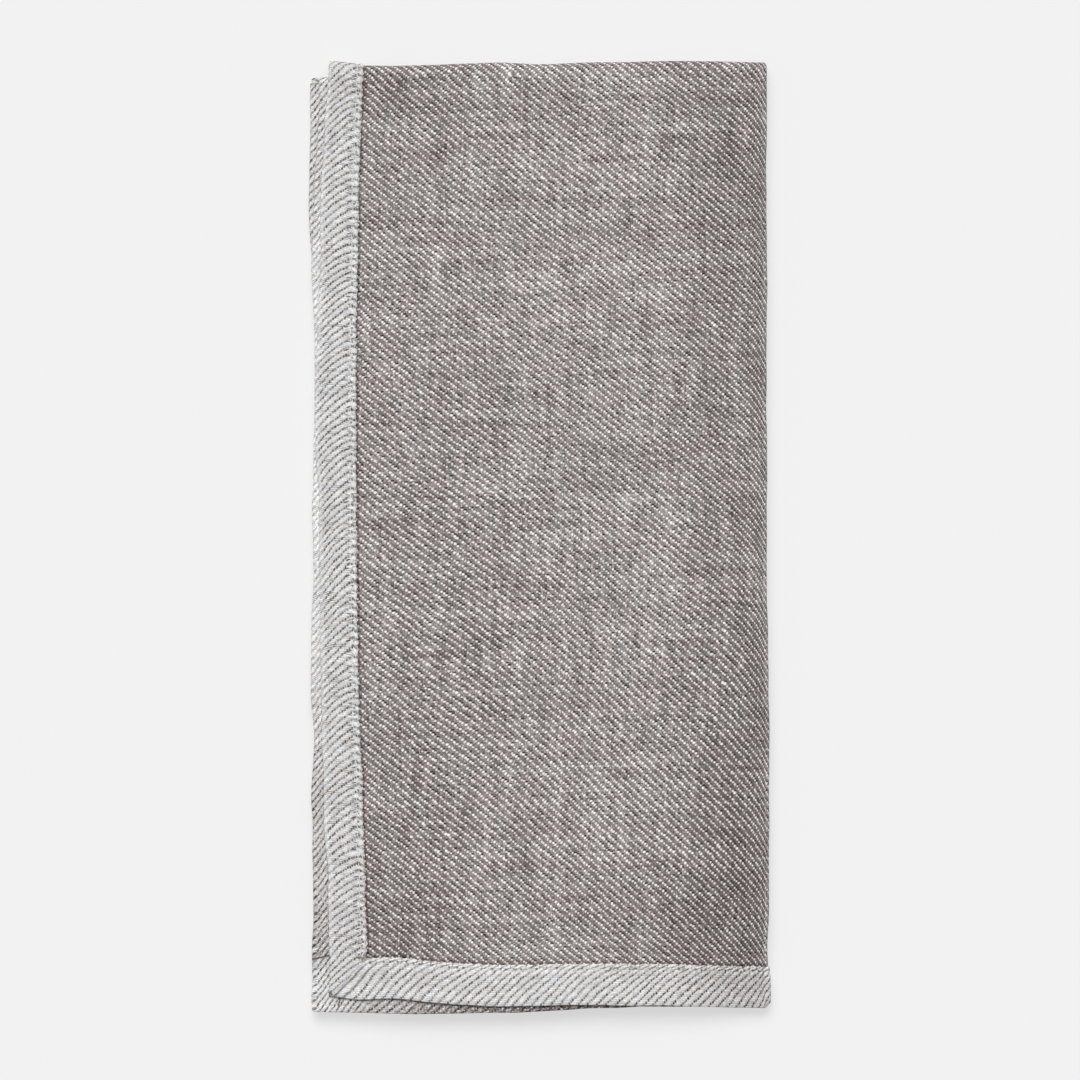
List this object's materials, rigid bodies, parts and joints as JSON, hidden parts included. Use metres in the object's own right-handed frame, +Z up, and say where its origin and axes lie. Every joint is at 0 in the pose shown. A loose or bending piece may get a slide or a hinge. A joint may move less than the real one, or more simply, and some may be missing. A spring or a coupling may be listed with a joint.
{
  "type": "folded kitchen towel",
  "caption": "Hemmed kitchen towel of heavy twill cloth, folded in thirds across its width and in half along its length, lying flat on a surface.",
  "frame": {"origin": "on the surface that the towel lies on, under the middle of the folded towel", "axes": "+X across the folded towel from its hemmed side to its closed side, +Y along it up to the top fold, +Z up"},
  "size_m": [0.1712, 0.3544, 0.0119],
  "materials": {
    "twill_cloth": "matt woven twill, dark grey-brown yarn over pale grey yarn on the face and the reverse way round on the back and the turned hems"
  },
  "bodies": {
    "root": {"towel": "twill_cloth"}
  },
  "joints": []
}
